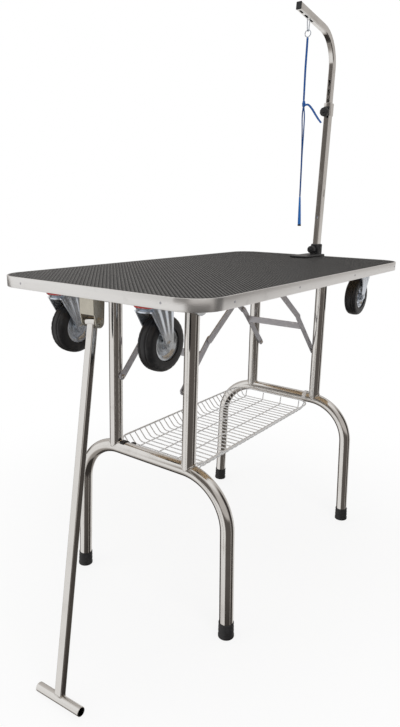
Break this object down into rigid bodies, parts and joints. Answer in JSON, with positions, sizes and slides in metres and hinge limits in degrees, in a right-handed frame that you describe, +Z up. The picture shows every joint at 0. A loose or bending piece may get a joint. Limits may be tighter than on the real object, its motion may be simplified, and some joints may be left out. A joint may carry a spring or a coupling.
{
  "type": "dog grooming table",
  "caption": "Folding grooming table with rubber-topped board, tube leg frames, swivel casters, pull handle, clamp-on arm with lead, and wire basket.",
  "frame": {"origin": "on the floor under the middle of the whole object's box", "axes": "+Z up, +X from the pull handle's end to the grooming arm's end, -Y the front"},
  "size_m": [1.3422, 0.61, 1.6059],
  "materials": {
    "plywood": "matt",
    "satin_trim": "satin",
    "black_mat": "matt",
    "stainless_tube": "polished",
    "black_rubber": "matt",
    "zinc_steel": "zinc plated",
    "grey_link_steel": "satin",
    "black_plastic": "matt",
    "white_wire": "gloss",
    "blue_tape": "woven"
  },
  "bodies": {
    "table": {"tabletop_board": "plywood", "edge_trim": "satin_trim", "rubber_mat": "black_mat", "near_pivot_bracket": "zinc_steel", "far_pivot_bracket": "zinc_steel", "near_brace_bracket": "zinc_steel", "far_brace_bracket": "zinc_steel", "near_caster_front_plate": "zinc_steel", "near_caster_back_plate": "zinc_steel", "far_caster_front_plate": "zinc_steel", "far_caster_back_plate": "zinc_steel", "handle_bracket": "stainless_tube", "clamp_body": "black_plastic", "lower_arm_tube": "stainless_tube", "height_collar": "black_plastic"},
    "near_leg_frame": {"near_uprights": "stainless_tube", "near_leg_arch": "stainless_tube", "near_foot_front": "black_rubber", "near_foot_back": "black_rubber", "near_basket_clip": "black_plastic"},
    "near_upper_links": {"near_upper_brace_front": "grey_link_steel", "near_upper_brace_back": "grey_link_steel"},
    "near_lower_links": {"near_lower_brace": "grey_link_steel"},
    "far_leg_frame": {"far_uprights": "stainless_tube", "far_leg_arch": "stainless_tube", "far_foot_front": "black_rubber", "far_foot_back": "black_rubber", "far_basket_clip": "white_wire"},
    "far_upper_links": {"far_upper_brace_front": "grey_link_steel", "far_upper_brace_back": "grey_link_steel"},
    "far_lower_links": {"far_lower_brace": "grey_link_steel"},
    "near_caster_front_swivel": {"near_caster_front_fork": "zinc_steel"},
    "near_caster_front_wheel": {"near_caster_front_rim": "zinc_steel", "near_caster_front_tyre": "black_rubber"},
    "near_caster_back_swivel": {"near_caster_back_fork": "zinc_steel"},
    "near_caster_back_wheel": {"near_caster_back_rim": "zinc_steel", "near_caster_back_tyre": "black_rubber"},
    "far_caster_front_swivel": {"far_caster_front_fork": "zinc_steel"},
    "far_caster_front_wheel": {"far_caster_front_rim": "zinc_steel", "far_caster_front_tyre": "black_rubber"},
    "far_caster_back_swivel": {"far_caster_back_fork": "zinc_steel"},
    "far_caster_back_wheel": {"far_caster_back_rim": "zinc_steel", "far_caster_back_tyre": "black_rubber"},
    "pull_handle": {"handle_bar": "stainless_tube", "handle_grip": "stainless_tube"},
    "arm_top": {"upper_arm_tube": "stainless_tube", "arm_end_cap": "black_plastic"},
    "height_knob_body": {"height_knob": "black_plastic"},
    "socket_knob_body": {"socket_knob": "black_plastic"},
    "clamp_screw_body": {"clamp_screw": "black_plastic"},
    "hook": {"snap_hook": "zinc_steel"},
    "lead": {"lead_ring": "zinc_steel", "lead_upper": "blue_tape", "lead_slider": "black_plastic", "lead_strand_front": "blue_tape", "lead_strand_back": "blue_tape", "lead_tail": "blue_tape", "lead_loop_end": "blue_tape"},
    "basket_end": {"basket_far_rod": "white_wire"},
    "basket_tray": {"basket": "white_wire"}
  },
  "joints": [
    {"name": "near_leg_fold", "type": "hinge", "parent": "table", "child": "near_leg_frame", "pos_m": [-0.2567, 0, 0.816], "axis": [0, -1, 0], "range_deg": [0, 84]},
    {"name": "far_leg_fold", "type": "hinge", "parent": "table", "child": "far_leg_frame", "pos_m": [0.4284, 0, 0.816], "axis": [0, 1, 0], "range_deg": [0, 90]},
    {"name": "near_upper_link_fold", "type": "hinge", "parent": "table", "child": "near_upper_links", "pos_m": [-0.0165, 0, 0.8125], "axis": [0, -1, 0], "range_deg": [-32.26, 0.2]},
    {"name": "near_lower_link_fold", "type": "hinge", "parent": "near_leg_frame", "child": "near_lower_links", "pos_m": [-0.26225, 0, 0.60107], "axis": [0, -1, 0], "range_deg": [-0.2, 45.53]},
    {"name": "far_upper_link_fold", "type": "hinge", "parent": "table", "child": "far_upper_links", "pos_m": [0.137, 0, 0.8245], "axis": [0, 1, 0], "range_deg": [-32.63, 0.2]},
    {"name": "far_lower_link_fold", "type": "hinge", "parent": "far_leg_frame", "child": "far_lower_links", "pos_m": [0.4384, 0, 0.567], "axis": [0, 1, 0], "range_deg": [-0.2, 40.7]},
    {"name": "near_caster_front_turn", "type": "hinge", "parent": "table", "child": "near_caster_front_swivel", "pos_m": [-0.421, -0.134, 0.8382], "axis": [0, 0, 1], "continuous": true},
    {"name": "near_caster_front_roll", "type": "hinge", "parent": "near_caster_front_swivel", "child": "near_caster_front_wheel", "pos_m": [-0.383, -0.134, 0.746], "axis": [0, 1, 0], "continuous": true},
    {"name": "near_caster_back_turn", "type": "hinge", "parent": "table", "child": "near_caster_back_swivel", "pos_m": [-0.421, 0.134, 0.8382], "axis": [0, 0, 1], "continuous": true},
    {"name": "near_caster_back_roll", "type": "hinge", "parent": "near_caster_back_swivel", "child": "near_caster_back_wheel", "pos_m": [-0.383, 0.134, 0.746], "axis": [0, 1, 0], "continuous": true},
    {"name": "far_caster_front_turn", "type": "hinge", "parent": "table", "child": "far_caster_front_swivel", "pos_m": [0.582, -0.193, 0.8382], "axis": [0, 0, 1], "continuous": true},
    {"name": "far_caster_front_roll", "type": "hinge", "parent": "far_caster_front_swivel", "child": "far_caster_front_wheel", "pos_m": [0.544, -0.193, 0.746], "axis": [0, 1, 0], "continuous": true},
    {"name": "far_caster_back_turn", "type": "hinge", "parent": "table", "child": "far_caster_back_swivel", "pos_m": [0.582, 0.193, 0.8382], "axis": [0, 0, 1], "continuous": true},
    {"name": "far_caster_back_roll", "type": "hinge", "parent": "far_caster_back_swivel", "child": "far_caster_back_wheel", "pos_m": [0.544, 0.193, 0.746], "axis": [0, 1, 0], "continuous": true},
    {"name": "handle_swing", "type": "hinge", "parent": "table", "child": "pull_handle", "pos_m": [-0.45, 0, 0.785], "axis": [0, 0.994, -0.1097], "range_deg": [0, 75]},
    {"name": "arm_height", "type": "slide", "parent": "table", "child": "arm_top", "axis": [0.0541, 0, 0.9985], "range_m": [-0.06, 0.2]},
    {"name": "height_knob_turn", "type": "hinge", "parent": "table", "child": "height_knob_body", "pos_m": [0.65268, 0, 1.333], "axis": [-0.9985, 0, 0.0541], "range_deg": [0, 360]},
    {"name": "socket_knob_turn", "type": "hinge", "parent": "table", "child": "socket_knob_body", "pos_m": [0.61245, 0, 0.8855], "axis": [-1, 0, 0], "range_deg": [0, 360]},
    {"name": "clamp_screw_turn", "type": "hinge", "parent": "table", "child": "clamp_screw_body", "pos_m": [0.5793, 0, 0.8382], "axis": [0, 0, 1], "range_deg": [0, 360]},
    {"name": "hook_swing", "type": "hinge", "parent": "arm_top", "child": "hook", "pos_m": [0.47009, 0, 1.57529], "axis": [0, 1, 0], "range_deg": [-6, 10]},
    {"name": "lead_swing", "type": "hinge", "parent": "hook", "child": "lead", "pos_m": [0.47009, 0, 1.5454], "axis": [0, 1, 0], "range_deg": [-4, 60]},
    {"name": "basket_far_drop", "type": "hinge", "parent": "table", "child": "basket_end", "pos_m": [-0.2318, 0, 0.403], "axis": [0, 1, 0], "range_deg": [-0.2, 35.48]},
    {"name": "basket_near_drop", "type": "hinge", "parent": "basket_end", "child": "basket_tray", "pos_m": [0.3924, 0, 0.403], "axis": [0, -1, 0], "range_deg": [-0.2, 35.48]}
  ],
  "couplings": [
    {"joint": "near_upper_link_fold", "follows": "near_leg_fold", "ratio": -0.38172},
    {"joint": "near_lower_link_fold", "follows": "near_leg_fold", "ratio": 0.53959},
    {"joint": "far_upper_link_fold", "follows": "far_leg_fold", "ratio": -0.36039},
    {"joint": "far_lower_link_fold", "follows": "far_leg_fold", "ratio": 0.44997},
    {"joint": "basket_far_drop", "follows": "far_leg_fold", "ratio": 0.392},
    {"joint": "basket_near_drop", "follows": "near_leg_fold", "ratio": 0.42}
  ]
}
